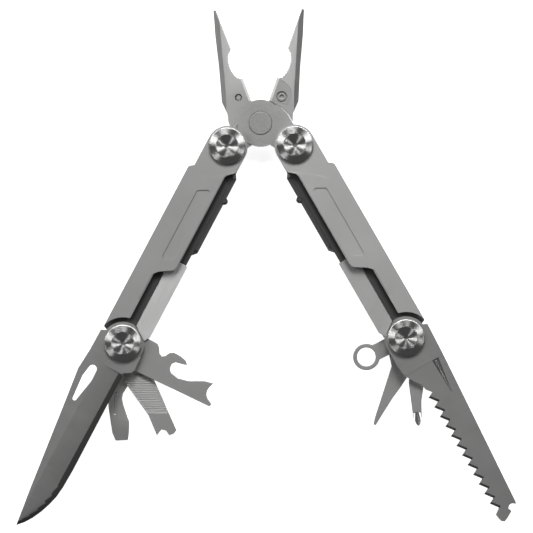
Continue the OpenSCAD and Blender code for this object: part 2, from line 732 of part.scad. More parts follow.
module bottle_opener() {
    small_tool(LEFT, OPENER) {
        polygon([
            [0, -5], [0, 6.5], [9.1, 5.9], [12.5, 5.7], [13.8, 4.6], [14.9, 2.6], [16.2, 1.9],
            [17.5, 2.7], [18.4, 4.5], [20, 5.4], [23, 5.2], [25.5, 4.6], [27, 3.1], [25.2, 2.6],
            [22.3, 2.1], [21.2, 0.9], [21.2, -0.45], [21.6, -1.7], [22.7, -2.6], [26, -3.3],
            [30.3, -2.3], [36, 0.4], [39.7, 1.1], [38.8, -1.2], [38.6, -2.8], [39.1, -4.5],
            [40.3, -5.6], [42.4, -6.8], [42.4, -7.6], [41.8, -8], [2.2, -8]
        ]);
    }
}

file_rib_pitch = 0.79;
file_rib_start = 14.2;
file_rib_w = 0.28;
file_rib_slant = 25;
file_ribs = 22;
module file() {
    difference() {
        small_tool(LEFT, FILE) polygon([
            [0, -6.6], [12.5, -6.1], [16.6, -5.8], [30.6, -3.2], [39.3, -3.5], [38.6, -2.2],
            [38, -0.75], [39.2, 0.6], [41.4, 1], [41.6, 3], [40.8, 4.5], [18.7, 4.9], [12, 5.6],
            [0, 7]
        ]);
        on_origin() in_tool(LEFT, FILE) for (i = [0 : file_ribs - 1], face = [0, left_tool_t[FILE]])
            translate([file_rib_start + i * file_rib_pitch, 0, face]) rotate([0, 0, -file_rib_slant])
                rotate([0, 45, 0])
                cube([file_rib_w, 30, file_rib_w], center = true);
    }
}

module flat_driver() {
    t = left_tool_t[FLAT_DRIVER];
    tip_t = 0.9;
    taper_start = 32;
    nick_depth = 0.5;
    difference() {
        small_tool(LEFT, FLAT_DRIVER) polygon([
            [0, -7.5], [14, -6.9], [26.5, -5.8], [36.4, -4.2], [39.4, -2.8], [39.1, 2.1], [36, 2.5],
            [31.8, 2.6], [28, 1.2], [24.8, 0.1], [22.6, -0.4], [20.5, -0.1], [17.5, 1.8], [13, 3.8],
            [0, 7.5]
        ]);
        on_origin() in_tool(LEFT, FLAT_DRIVER) translate([0, 0, t / 2]) {
            both_faces() rotate([90, 0, 0]) linear_extrude(through, center = true)
                polygon([
                    [taper_start, t / 2], [taper_start + 8, tip_t / 2], [taper_start + 8, t], [taper_start, t]
                ]);
            layer(t / 2 - nick_depth, 2) hull() {
                translate([20.4, -2.8]) circle(r = 0.5, $fn = 32);
                translate([28.2, -3.1]) circle(r = 0.5, $fn = 32);
            }
        }
    }
}

// Four flutes taper into the tip of the cross driver
module cross_driver() {
    mid_y = 0.6;
    shank_half_w = 1.7;
    tip_x = 35.8;
    tip_half_w = 0.7;
    flute_start = 30.5;
    flute_w = 2;
    flute_depth_from_middle = 0.55;
    flute_slope = 6;
    difference() {
        small_tool(RIGHT, CROSS_DRIVER) polygon([
            [0, -7.5], [8, -4.2], [15.5, -0.6], [18, -1.1], [32.1, mid_y - shank_half_w],
            [tip_x - 0.6, mid_y - tip_half_w], [tip_x, mid_y], [tip_x - 0.6, mid_y + tip_half_w],
            [32.3, mid_y + shank_half_w], [26, 2.9], [21.3, 4.3], [12, 6], [0, 7.8]
        ]);
        on_origin() in_tool(RIGHT, CROSS_DRIVER) translate([0, mid_y, right_tool_t[CROSS_DRIVER] / 2])
            for (turn = [45 : 90 : 315]) rotate([turn, 0, 0])
                translate([flute_start, -flute_w / 2, flute_depth_from_middle]) rotate([0, -flute_slope, 0])
                    cube([12, flute_w, flute_w]);
    }
}

ring_outer_r = 5.4;
ring_centre_x = 17.6;
module lanyard_ring() {
    neck_w = 6.6;
    difference() {
        small_tool(RIGHT, LANYARD_RING) {
            translate([0, -neck_w / 2]) square([ring_centre_x, neck_w]);
            translate([ring_centre_x, 0]) circle(r = ring_outer_r);
        }
        on_origin() in_tool(RIGHT, LANYARD_RING) translate([ring_centre_x, 0, 0]) bore(ring_hole_r);
    }
}

module awl() {
    small_tool(RIGHT, AWL) {
        polygon([
            [0, -7.2], [8, -4.4], [12.7, -1.5], [24, -1.2], [34, -0.9], [36.9, -0.6], [37.5, 0],
            [37, 0.6], [34, 1.2], [25, 3.2], [19, 5], [14.2, 6.2], [0, 7.8]
        ]);
    }
}

rear_jaw();
front_jaw();
pivot_rivet();
left_cutter();
right_cutter();
left_cutter_screw();
right_cutter_screw();
rear_cover(LEFT);  // left_rear_cover
rear_cover(RIGHT);  // right_rear_cover
spine(LEFT);  // left_spine
spine(RIGHT);  // right_spine
lock_liner(LEFT);  // left_lock_liner
lock_liner(RIGHT);  // right_lock_liner
lock_leaf(LEFT);  // left_lock_leaf
lock_leaf(RIGHT);  // right_lock_leaf
blade_spacer(LEFT);  // left_blade_spacer
blade_spacer(RIGHT);  // right_blade_spacer
front_cover(LEFT);  // left_front_cover
front_cover(RIGHT);  // right_front_cover
tool_spring(LEFT);  // left_tool_spring
tool_spring(RIGHT);  // right_tool_spring
rivets(LEFT);  // left_rivets
rivets(RIGHT);  // right_rivets
upper_nut(LEFT);  // left_upper_nut
upper_nut(RIGHT);  // right_upper_nut
upper_screw(LEFT);  // left_upper_screw
upper_screw(RIGHT);  // right_upper_screw
lower_nut(LEFT);  // left_lower_nut
lower_nut(RIGHT);  // right_lower_nut
lower_screw(LEFT);  // left_lower_screw
lower_screw(RIGHT);  // right_lower_screw
upper_washers(LEFT);  // left_upper_washers
upper_washers(RIGHT);  // right_upper_washers
lower_washers(LEFT);  // left_lower_washers
lower_washers(RIGHT);  // right_lower_washers
knife();
saw();
bottle_opener();
file();
flat_driver();
cross_driver();
lanyard_ring();
awl();
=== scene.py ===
# %% [markdown]
# # A folding multi tool, opened out flat
# The tool is all stainless steel, in a few finishes: bead-blasted covers and small tools, ground
# blades, rolled lock leaves, cast jaws, turned screw heads, and steel inside the handles that is
# painted dark as shade. The shapes come from the CAD frame. This lesson breaks their edges, lathes
# the screws, makes the finishes and lights them.

import json
import math

import bpy
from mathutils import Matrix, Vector


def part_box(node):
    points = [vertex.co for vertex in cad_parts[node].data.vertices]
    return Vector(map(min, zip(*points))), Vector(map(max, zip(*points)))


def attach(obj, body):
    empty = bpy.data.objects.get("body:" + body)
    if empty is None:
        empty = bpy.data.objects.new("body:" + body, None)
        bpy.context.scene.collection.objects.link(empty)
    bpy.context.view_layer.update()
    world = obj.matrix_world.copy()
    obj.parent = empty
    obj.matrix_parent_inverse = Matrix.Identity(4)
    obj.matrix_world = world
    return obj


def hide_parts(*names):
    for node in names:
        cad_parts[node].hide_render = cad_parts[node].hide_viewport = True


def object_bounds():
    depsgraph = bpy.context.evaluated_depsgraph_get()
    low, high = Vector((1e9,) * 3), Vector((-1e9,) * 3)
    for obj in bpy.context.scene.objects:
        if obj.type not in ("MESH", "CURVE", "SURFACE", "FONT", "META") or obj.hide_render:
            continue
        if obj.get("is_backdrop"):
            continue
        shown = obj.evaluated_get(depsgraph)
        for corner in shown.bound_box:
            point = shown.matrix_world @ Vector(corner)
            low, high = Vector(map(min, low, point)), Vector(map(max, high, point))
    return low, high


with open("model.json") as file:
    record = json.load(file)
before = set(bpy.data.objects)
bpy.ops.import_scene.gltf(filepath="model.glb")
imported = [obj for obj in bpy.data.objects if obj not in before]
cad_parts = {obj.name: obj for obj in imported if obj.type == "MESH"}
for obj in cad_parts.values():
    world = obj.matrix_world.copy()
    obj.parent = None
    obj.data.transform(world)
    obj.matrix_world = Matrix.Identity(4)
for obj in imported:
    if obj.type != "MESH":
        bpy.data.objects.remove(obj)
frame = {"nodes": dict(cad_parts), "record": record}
cad_low, cad_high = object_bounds()
MM = 0.001

# %% [markdown]
# ## Which node moves with which body
# Each new piece rides on the body of the node that it stands for. The record lists the nodes of each
# body, and the material of each loaded node is its slot, so both are read and never typed in twice.

# %% Bodies and slots by node
bodies = frame["record"]["behaviour"]["bodies"]
body_of_node = {node: body for body, nodes in bodies.items() for node in nodes}
slot_of_node = {name: node.data.materials[0].name for name, node in frame["nodes"].items()}
print(f"slots: {sorted(set(slot_of_node.values()))}")


def middle(node):
    """The middle of a CAD node's box."""
    low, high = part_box(node)
    return (low + high) / 2


def stand_for(piece, node):
    """The piece takes the node's place and moves with its body."""
    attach(piece, body_of_node[node])
    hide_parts(node)


# %% [markdown]
# ## Broken edges
# No edge on a tool that is carried in a pocket is left sharp: each is tumbled or bevelled, and that
# narrow band catches the light. A shader could fake the band, but a real one also holds up close by
# and in the exported mesh. So each sharp piece is a merged copy of its CAD node with a Bevel modifier
# on its sharp edges. The modifier gives the bevel a material slot of its own, so that the band can be
# glossier than the faces beside it and painted darker, as painted shade for the dark lines at edges,
# and hardens the normals, so that big faces stay flat.

# %% A copy of a node with its edges broken
# Two faces that meet at more than SHARP have an edge to break; at less than FLAT they are one face.
SHARP = math.radians(28)
FLAT = math.radians(0.4)
MERGE = 0.002 * MM
BEVEL_SEGMENTS = 2
EDGE_SLOT = 1


def select_only(piece):
    """Operators act on all that is selected, so the piece is selected alone."""
    bpy.ops.object.select_all(action="DESELECT")
    piece.select_set(True)
    bpy.context.view_layer.objects.active = piece


def broken_edges(node, width):
    """A merged copy of a CAD node, whose sharp edges are rounded to this width."""
    piece = bpy.data.objects.new(f"{node}_finished", frame["nodes"][node].data.copy())
    bpy.context.scene.collection.objects.link(piece)
    select_only(piece)
    bpy.ops.mesh.customdata_custom_splitnormals_clear()
    bpy.ops.object.mode_set(mode="EDIT")
    bpy.ops.mesh.select_all(action="SELECT")
    bpy.ops.mesh.remove_doubles(threshold=MERGE)
    bpy.ops.mesh.mark_sharp(clear=True)
    bpy.ops.mesh.dissolve_limited(angle_limit=FLAT)
    bpy.ops.object.mode_set(mode="OBJECT")
    bpy.ops.object.shade_smooth_by_angle(angle=SHARP)
    bevel = piece.modifiers.new("broken edge", "BEVEL")
    bevel.width = width
    bevel.segments = BEVEL_SEGMENTS
    bevel.limit_method = "ANGLE"
    bevel.angle_limit = SHARP
    bevel.material = EDGE_SLOT
    bevel.use_clamp_overlap = True
    bevel.harden_normals = True
    bpy.ops.object.modifier_apply(modifier=bevel.name)
    bpy.ops.object.mode_set(mode="EDIT")
    bpy.ops.mesh.select_all(action="SELECT")
    bpy.ops.mesh.quads_convert_to_tris()
    bpy.ops.object.mode_set(mode="OBJECT")
    stand_for(piece, node)
    return piece


# %% Every piece that shows an edge, and the edge's width in millimetres
SIDES = ("left", "right")
PLAIN_EDGES = {
    "rear_jaw": 0.12, "front_jaw": 0.12, "pivot_rivet": 0.1, "knife": 0.12, "saw": 0.14,
    "bottle_opener": 0.25, "file": 0.05, "flat_driver": 0.2, "cross_driver": 0.15,
    "lanyard_ring": 0.25, "awl": 0.2,
}
SIDED_EDGES = {
    "front_cover": 0.4, "rear_cover": 0.25, "spine": 0.2, "lock_leaf": 0.12, "lock_liner": 0.12,
    "cutter": 0.08, "blade_spacer": 0.1, "cutter_screw": 0.06,
}
edge_width = dict(PLAIN_EDGES)
for side in SIDES:
    edge_width |= {f"{side}_{part}": width for part, width in SIDED_EDGES.items()}

finished = {node: broken_edges(node, width * MM) for node, width in edge_width.items()}
for node, piece in finished.items():
    print(f"{node}: {len(piece.data.polygons)} triangles")

# %% [markdown]
# ## Lathed screws and barrels
# The four big pivots are turned parts. On a lathe, a tool cuts one profile while the blank spins, so
# here a circle is added at the piece's first ring and extruded ring by ring along its profile. A
# screw has its thread, the head's underside and side, a rounded rim, a face that slopes slightly
# outwards, a fine groove, and a dish that slopes inwards to a small hexagonal socket. The two slopes
# matter: they are why one half of each face is bright where the other half is dark. Each face also
# gets a map of its angle and radius, so that the turning marks and the gloss follow the lathe's path.

# %% Extrude one ring to the next
RING_POINTS = 72
SIXTH_TURN = math.pi / 3
ABOVE_START = 0.5 * MM
TURNING_MAP = "Turning"


def next_ring(centre, grow, rise):
    """Extrudes the selected ring, scales it about the axis and lifts it."""
    bpy.ops.mesh.extrude_edges_move()
    bpy.ops.transform.resize(value=(grow, grow, 1), center_override=centre)
    bpy.ops.transform.translate(value=(0, 0, rise))


def map_turning(piece, centre, radius):
    """A UV map of the angle round the axis and the share of the radius."""
    turning = piece.data.uv_layers.new(name=TURNING_MAP)
    for face in piece.data.polygons:
        around = math.atan2(face.center.y - centre.y, face.center.x - centre.x)
        for loop in face.loop_indices:
            spot = piece.data.vertices[piece.data.loops[loop].vertex_index].co - centre
            angle = math.atan2(spot.y, spot.x)
            angle += 2 * math.pi * round((around - angle) / (2 * math.pi))
            turning.data[loop].uv = (angle / (2 * math.pi), spot.xy.length / radius)


def turned(name, centre, profile, socket):
    """A profile of (radius, height) round a vertical axis, ending in a hexagon of this radius, if any."""
    start_r, start_z = profile[0]
    bpy.ops.object.select_all(action="DESELECT")
    bpy.ops.mesh.primitive_circle_add(
        vertices=RING_POINTS, radius=start_r, fill_type="NGON", location=(centre.x, centre.y, start_z)
    )
    piece = bpy.context.object
    piece.name = name
    bpy.ops.object.transform_apply()
    bpy.ops.object.mode_set(mode="EDIT")
    bpy.ops.mesh.select_mode(type="EDGE")
    bpy.ops.mesh.select_all(action="SELECT")
    for (r, z), (next_r, next_z) in zip(profile, profile[1:]):
        next_ring((centre.x, centre.y, z), next_r / r, next_z - z)
    bpy.ops.mesh.edge_face_add()
    bpy.ops.mesh.select_all(action="SELECT")
    bpy.ops.mesh.normals_make_consistent(inside=False)
    bpy.ops.object.mode_set(mode="OBJECT")
    if socket:
        last_r = profile[-1][0]
        for v in piece.data.vertices:
            spot = v.co.xy - centre.xy
            if abs(spot.length - last_r) < MERGE and v.co.z > start_z + ABOVE_START:
                turn = math.atan2(spot.y, spot.x) % SIXTH_TURN - SIXTH_TURN / 2
                spot *= socket * math.cos(SIXTH_TURN / 2) / math.cos(turn) / last_r
                v.co.xy = centre.xy + spot
    bpy.ops.object.shade_smooth_by_angle(angle=SHARP)
    map_turning(piece, centre, max(r for r, z in profile))
    return piece


# %% The profiles of a pivot screw and of its barrel
# The dish starts and ends at these shares of the head's radius.
HEAD_T = 1.8 * MM
DISH_START = 0.61
DISH_END = 0.19
THREAD_R = 1.5 * MM
SOCKET_R = 1.15 * MM
SOCKET_DEPTH = 1.2 * MM
FLANGE_BEVEL = 0.1 * MM
GROOVE_DEPTH = 0.1 * MM
GROOVE_LIP = 0.02 * MM
BARREL_R = 2.6 * MM
BARREL_BEVEL = 0.2 * MM
BORE_R = 1.7 * MM
BORE_DEPTH = 1 * MM
BORE_TAPER = 0.1 * MM


def screw_profile(low, high, radius):
    """Thread, underside, side, rounded rim, outer face, groove, dish and socket."""
    under = high.z - HEAD_T
    dish_r = DISH_START * radius
    return [
        (THREAD_R, low.z), (THREAD_R, under),
        (radius - FLANGE_BEVEL, under), (radius, under + FLANGE_BEVEL),
        (radius, high.z - 0.45 * MM), (radius - 0.05 * MM, high.z - 0.33 * MM),
        (radius - 0.18 * MM, high.z - 0.26 * MM), (radius - 0.3 * MM, high.z - 0.24 * MM),
        (dish_r + 0.2 * MM, high.z - GROOVE_LIP), (dish_r + 0.08 * MM, high.z),
        (dish_r, high.z - GROOVE_DEPTH), (dish_r - 0.1 * MM, high.z - GROOVE_DEPTH),
        (dish_r - 0.2 * MM, high.z - GROOVE_LIP),
        (DISH_END * radius, high.z - 0.26 * MM), (SOCKET_R, high.z - 0.32 * MM),
        (SOCKET_R, high.z - SOCKET_DEPTH),
    ]


def barrel_profile(low, high, radius):
    """The rear head with its shallow dish, the barrel that the tools turn on, and its bore."""
    return [
        (DISH_END * radius, low.z + 0.25 * MM), (DISH_START * radius, low.z + 0.08 * MM),
        (DISH_START * radius + 0.1 * MM, low.z), (radius - 0.6 * MM, low.z),
        (radius - 0.2 * MM, low.z + 0.12 * MM), (radius, low.z + 0.4 * MM),
        (radius, low.z + HEAD_T), (BARREL_R, low.z + HEAD_T), (BARREL_R, high.z - BARREL_BEVEL),
        (BARREL_R - BARREL_BEVEL, high.z), (BORE_R, high.z),
        (BORE_R - BORE_TAPER, high.z - BORE_DEPTH),
    ]


for side in SIDES:
    for end in ("upper", "lower"):
        for part, profile, socket in (("screw", screw_profile, SOCKET_R), ("nut", barrel_profile, 0)):
            node = f"{side}_{end}_{part}"
            low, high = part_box(node)
            radius = (high.x - low.x) / 2
            finished[node] = turned(f"{node}_turned", middle(node), profile(low, high, radius), socket)
            stand_for(finished[node], node)
            print(f"{node}: {len(finished[node].data.polygons)} faces")

# %% [markdown]
# ## Effects that several finishes share
# A finish is a shader with its own numbers, fed by a few effects. Each effect is a node group, built
# once: the grain of bead blasting, the fine lines of grinding, the mottle of cast metal, and the
# tool marks of turning. Each group puts out a tone, which is a grey around 1 that multiplies the
# colour and on most finishes the roughness too, and a height for a Bump node.

# %% Helpers for building node trees
def new_group(name, inputs, outputs):
    """An empty shader group with named number inputs and outputs; vectors are marked by their name."""
    group = bpy.data.node_groups.new(name, "ShaderNodeTree")
    for title, start in inputs.items():
        kind = "NodeSocketVector" if title == "Vector" else "NodeSocketFloat"
        socket = group.interface.new_socket(title, in_out="INPUT", socket_type=kind)
        if kind == "NodeSocketFloat":
            socket.default_value = start
    for title in outputs:
        group.interface.new_socket(title, in_out="OUTPUT", socket_type="NodeSocketFloat")
    return group, group.nodes.new("NodeGroupInput"), group.nodes.new("NodeGroupOutput")


def join(tree, source, target):
    """Links one socket to another; a bare number is set on the target instead."""
    if isinstance(source, (int, float)):
        target.default_value = source
    else:
        tree.links.new(source, target)


def calc(tree, operation, a, b):
    """A Math node of two numbers or sockets; returns its output."""
    node = tree.nodes.new("ShaderNodeMath")
    node.operation = operation
    join(tree, a, node.inputs[0])
    join(tree, b, node.inputs[1])
    return node.outputs[0]


def noise(tree, vector, scale, detail=2.0, roughness=0.5):
    """A Noise Texture's grey, around 0.5; the scale is in grains per metre."""
    node = tree.nodes.new("ShaderNodeTexNoise")
    join(tree, vector, node.inputs["Vector"])
    join(tree, scale, node.inputs["Scale"])
    join(tree, detail, node.inputs["Detail"])
    join(tree, roughness, node.inputs["Roughness"])
    return node.outputs["Fac"]


def around_one(tree, grey, strength):
    """Turns a grey around 0.5 into a tone around 1."""
    return calc(tree, "ADD", calc(tree, "MULTIPLY", calc(tree, "SUBTRACT", grey, 0.5), strength), 1.0)


# %% [markdown]
# ### Blasted grain
# Bead blasting leaves a skin of tiny craters, with no direction, about 0.2 mm across. Two sizes of
# noise make it, and a much larger, weaker one gives the slow drift of tone that a big face shows.

# %% The grain of bead blasting
group, given, out = new_group(
    "Blasted grain", {"Vector": None, "Grain": 4200.0, "Strength": 0.2, "Drift": 0.1}, ("Tone", "Height")
)
fine = noise(group, given.outputs["Vector"], given.outputs["Grain"], detail=3.0, roughness=0.7)
slow = noise(group, given.outputs["Vector"], scale=55.0)
grain_tone = around_one(group, fine, given.outputs["Strength"])
drift_tone = around_one(group, slow, given.outputs["Drift"])
join(group, calc(group, "MULTIPLY", grain_tone, drift_tone), out.inputs["Tone"])
join(group, fine, out.inputs["Height"])
blasted_grain = group
print("made", group.name)

# %% [markdown]
# ### Grinding lines
# A belt leaves fine scratches in one direction. Noise that is stretched a lot along X makes them, so
# each finish first turns its vector until X lies along the scratches.

# %% The lines of grinding
LINE_SCALE = (60.0, 3600.0, 600.0)
group, given, out = new_group(
    "Grinding lines", {"Vector": None, "Strength": 0.2, "Drift": 0.1}, ("Tone", "Height")
)
stretch = group.nodes.new("ShaderNodeVectorMath")
stretch.operation = "MULTIPLY"
stretch.inputs[1].default_value = LINE_SCALE
join(group, given.outputs["Vector"], stretch.inputs[0])
lines = noise(group, stretch.outputs["Vector"], scale=1.0, detail=3.0, roughness=0.65)
slow = noise(group, given.outputs["Vector"], scale=70.0)
line_tone = around_one(group, lines, given.outputs["Strength"])
drift_tone = around_one(group, slow, given.outputs["Drift"])
join(group, calc(group, "MULTIPLY", line_tone, drift_tone), out.inputs["Tone"])
join(group, lines, out.inputs["Height"])
grinding_lines = group
print("made", group.name)

# %% [markdown]
# ### Cast mottle
# The hub and the rivet keep the orange-peel skin of a casting under their blasting. It fades along
# the jaws to a share of its strength, so a distance from the rivet drives it. The same distance
# makes the hub a little duller than the jaws.

# %% The mottle of cast metal
FAR_SHARE = 0.25
HUB_DULLING = 0.14
group, given, out = new_group(
    "Cast mottle", {"Vector": None, "Near": 0.008, "Far": 0.013, "Strength": 0.5}, ("Tone", "Height")
)
reach = group.nodes.new("ShaderNodeVectorMath")
reach.operation = "LENGTH"
join(group, given.outputs["Vector"], reach.inputs[0])
fade = group.nodes.new("ShaderNodeMapRange")
join(group, reach.outputs["Value"], fade.inputs["Value"])
join(group, given.outputs["Near"], fade.inputs["From Min"])
join(group, given.outputs["Far"], fade.inputs["From Max"])
join(group, 1.0, fade.inputs["To Min"])
join(group, FAR_SHARE, fade.inputs["To Max"])
pits = noise(group, given.outputs["Vector"], scale=1100.0, detail=3.0, roughness=0.6)
mottle = calc(group, "MULTIPLY", fade.outputs["Result"], given.outputs["Strength"])
dulled = calc(group, "SUBTRACT", 1.0, calc(group, "MULTIPLY", fade.outputs["Result"], HUB_DULLING))
join(group, calc(group, "MULTIPLY", around_one(group, pits, mottle), dulled), out.inputs["Tone"])
join(group, calc(group, "MULTIPLY", pits, fade.outputs["Result"]), out.inputs["Height"])
cast_mottle = group
print("made", group.name)

# %% [markdown]
# ### Turning marks
# The lathe's tool leaves concentric grooves. On the map of angle and radius, each groove is a
# straight stripe at one radius, so a one-dimensional noise of the radius draws them all.

# %% The marks of turning
group, given, out = new_group(
    "Turning marks", {"Vector": None, "Grooves": 55.0, "Strength": 0.2}, ("Tone", "Height")
)
split = group.nodes.new("ShaderNodeSeparateXYZ")
join(group, given.outputs["Vector"], split.inputs[0])
rings = group.nodes.new("ShaderNodeTexNoise")
rings.noise_dimensions = "1D"
join(group, calc(group, "MULTIPLY", split.outputs["Y"], given.outputs["Grooves"]), rings.inputs["W"])
join(group, 1.0, rings.inputs["Scale"])
join(group, 4.0, rings.inputs["Detail"])
ring_tone = around_one(group, rings.outputs["Fac"], given.outputs["Strength"])
join(group, ring_tone, out.inputs["Tone"])
join(group, rings.outputs["Fac"], out.inputs["Height"])
turning_marks = group
print("made", group.name)

# %% [markdown]
# ## The finishes
# Each finish is a metal: its grey decides how much light it returns, and its roughness how wide a
# part of the studio it gathers that from. Blasted faces are rough and take light from a wide part.
# Ground faces are a little smoother, and their scratches show. Turned faces are smooth along their
# grooves and rough across them, so they are anisotropic, and their gloss gathers into wedges.

# %% A finish from a colour, a roughness and effects
BLUE_SHARE = 0.992


def finish(name, grey, roughness, bump_height, bump_strength):
    """A metal material whose tone and bump are fed later; returns its tree and the points to feed."""
    material = bpy.data.materials.new(name)
    material.use_nodes = True
    tree = material.node_tree
    metal = tree.nodes["Principled BSDF"]
    metal.inputs["Metallic"].default_value = 1.0
    metal.inputs["Roughness"].default_value = roughness
    place = tree.nodes.new("ShaderNodeTexCoord")
    tint = tree.nodes.new("ShaderNodeVectorMath")
    tint.operation = "SCALE"
    tint.inputs[0].default_value = (grey, grey, grey * BLUE_SHARE)
    join(tree, tint.outputs["Vector"], metal.inputs["Base Color"])
    bump = tree.nodes.new("ShaderNodeBump")
    bump.inputs["Distance"].default_value = bump_height
    bump.inputs["Strength"].default_value = bump_strength
    join(tree, bump.outputs["Normal"], metal.inputs["Normal"])
    return material, tree, metal, place.outputs["Object"], tint.inputs["Scale"], bump.inputs["Height"]


def place_effect(tree, effect, vector, **values):
    """Puts a node group in a material's tree, with its vector and its own values."""
    node = tree.nodes.new("ShaderNodeGroup")
    node.node_tree = effect
    join(tree, vector, node.inputs["Vector"])
    for title, value in values.items():
        node.inputs[title].default_value = value
    return node


def turned_to(tree, vector, angle, at=(0.0, 0.0, 0.0)):
    """A Mapping node that moves a point to the origin, then turns the pattern about Z."""
    mapping = tree.nodes.new("ShaderNodeMapping")
    mapping.vector_type = "TEXTURE"
    mapping.inputs["Location"].default_value = at
    mapping.inputs["Rotation"].default_value = (0.0, 0.0, angle)
    join(tree, vector, mapping.inputs["Vector"])
    return mapping.outputs["Vector"]


def blasted(name, grey, roughness, strength=0.14, drift=0.08):
    """Bead-blasted steel."""
    material, tree, metal, place, tone, height = finish(name, grey, roughness, 0.03 * MM, 0.6)
    grain = place_effect(tree, blasted_grain, place, Strength=strength, Drift=drift)
    join(tree, grain.outputs["Tone"], tone)
    join(tree, grain.outputs["Height"], height)
    rough = calc(tree, "MULTIPLY", grain.outputs["Tone"], roughness)
    join(tree, rough, metal.inputs["Roughness"])
    return material


def ground(name, grey, roughness, angle, strength=0.16):
    """Belt-ground steel, with its lines at this angle."""
    material, tree, metal, place, tone, height = finish(name, grey, roughness, 0.012 * MM, 0.5)
    along = turned_to(tree, place, angle)
    lines = place_effect(tree, grinding_lines, along, Strength=strength)
    join(tree, lines.outputs["Tone"], tone)
    join(tree, lines.outputs["Height"], height)
    rough = calc(tree, "MULTIPLY", lines.outputs["Tone"], roughness)
    join(tree, rough, metal.inputs["Roughness"])
    return material


# %% Covers, liners and springs; each side's covers and leaves with painted light
# Both sides are one steel, but each side's covers and leaves get their own grey: painted light and shade,
# for how the light falls on the left and on the right.
COVER_GREY_WITH_PAINTED_LIGHT = {"left": 0.50, "right": 0.60}
LEAF_GREY_WITH_PAINTED_LIGHT = {"left": 0.90, "right": 0.64}
LEAF_LINES = math.radians(62)
cover_steel_painted_lit = {
    side: blasted(f"blasted {side} cover steel with painted light", grey, 0.46) for side, grey in COVER_GREY_WITH_PAINTED_LIGHT.items()
}
# The steel inside the handles is painted nearly black: painted shade, for the shade between the covers and
# on the spines.
inner_steel_painted_shade = blasted("inner steel painted dark as shade", 0.10, 0.5)
# Broken edges are glossier, as worn steel is, and painted darker than the faces: painted shade, for the
# dark lines that edges show. The covers' edges are painted darkest.
worn_edge_painted_dark = blasted("worn edge painted dark as shade", 0.34, 0.36, strength=0.06, drift=0.2)
cover_edge_painted_shade = blasted("cover edge painted dark as shade", 0.16, 0.42, strength=0.06, drift=0.2)
leaf_steel_painted_lit = {
    side: ground(f"rolled {side} leaf steel with painted light", grey, 0.44, LEAF_LINES)
    for side, grey in LEAF_GREY_WITH_PAINTED_LIGHT.items()
}
made = (*cover_steel_painted_lit.values(), inner_steel_painted_shade, worn_edge_painted_dark, cover_edge_painted_shade, *leaf_steel_painted_lit.values())
print("made", *(steel.name for steel in made))

# %% Blades, ground across the handle's direction, and small tools
def direction_between(start, end):
    """The angle of the line from one node's middle to another's."""
    run = middle(end) - middle(start)
    return math.atan2(run.y, run.x)


handle_angle = {side: direction_between(f"{side}_upper_screw", f"{side}_lower_screw") for side in SIDES}
blade_steel = {
    side: ground(f"ground {side} blade steel", 0.50, 0.40, handle_angle[side] + math.pi / 2)
    for side in SIDES
}
tool_steel = blasted("blasted tool steel", 0.52, 0.44, strength=0.12)
# The honed bevels and the driver's flutes are painted dark: painted shade, for the dark bands that these
# sloped faces show.
honed_slope_painted_dark = ground("sloped faces painted dark as shade", 0.22, 0.3, handle_angle["left"], strength=0.1)
print("made", blade_steel["left"].name, tool_steel.name, honed_slope_painted_dark.name)

# %% Jaws: blasted, with the casting's mottle round the rivet
def cast(name, grey, roughness, strength):
    """Cast steel, mottled round the pliers rivet."""
    material, tree, metal, place, tone, height = finish(name, grey, roughness, 0.06 * MM, 0.5)
    about_hub = turned_to(tree, place, 0.0, tuple(middle("pivot_rivet")))
    mottle = place_effect(tree, cast_mottle, about_hub, Strength=strength)
    grain = place_effect(tree, blasted_grain, place, Strength=0.12, Drift=0.1)
    join(tree, calc(tree, "MULTIPLY", mottle.outputs["Tone"], grain.outputs["Tone"]), tone)
    join(tree, calc(tree, "ADD", mottle.outputs["Height"], grain.outputs["Height"]), height)
    join(tree, calc(tree, "MULTIPLY", grain.outputs["Tone"], roughness), metal.inputs["Roughness"])
    return material


jaw_steel = cast("cast jaw steel", 0.56, 0.44, 0.35)
rivet_steel = cast("mottled rivet steel", 0.50, 0.46, 0.6)
print("made", jaw_steel.name, rivet_steel.name)

# %% Screws: turned, with a gloss that follows the grooves
def lathed(name, grey, roughness):
    """Turned steel; its marks follow the map of angle and radius, so it needs no place in space."""
    material, tree, metal, _, tone, height = finish(name, grey, roughness, 0.012 * MM, 0.3)
    turning_map = tree.nodes.new("ShaderNodeUVMap")
    turning_map.uv_map = TURNING_MAP
    marks = place_effect(tree, turning_marks, turning_map.outputs["UV"])
    join(tree, marks.outputs["Tone"], tone)
    join(tree, marks.outputs["Height"], height)
    along_groove = tree.nodes.new("ShaderNodeTangent")
    along_groove.direction_type = "UV_MAP"
    along_groove.uv_map = TURNING_MAP
    metal.inputs["Anisotropic"].default_value = 1.0
    join(tree, along_groove.outputs["Tangent"], metal.inputs["Tangent"])
    return material


screw_steel = lathed("turned screw steel", 0.56, 0.28)
print("made", screw_steel.name)

# %% [markdown]
# ## Who wears which finish
# A piece has two slots: its own finish, and the finish of its broken edges, which on most pieces is
# painted darker as shade. The knife and the saw have honed bevels and the cross driver has flutes:
# sloped faces, which take the second slot too, painted dark as shade, and are found by their slope.
# The CAD nodes that stay as they are sit inside the handles: the tool springs get the right leaf's
# steel with its painted light, and the washers and rivets the steel painted dark as shade.

# %% Give every piece its finish
own_finish = {
    "satin_steel": cover_steel_painted_lit["left"], "ground_steel": tool_steel, "jaw_steel": jaw_steel,
    "turned_steel": screw_steel, "spring_steel": inner_steel_painted_shade,
}


def wear(piece, main, edge=None):
    """Sets the piece's finish, and that of its broken edges where it has them."""
    piece.data.materials.clear()
    for material in (main, edge or main):
        piece.data.materials.append(material)
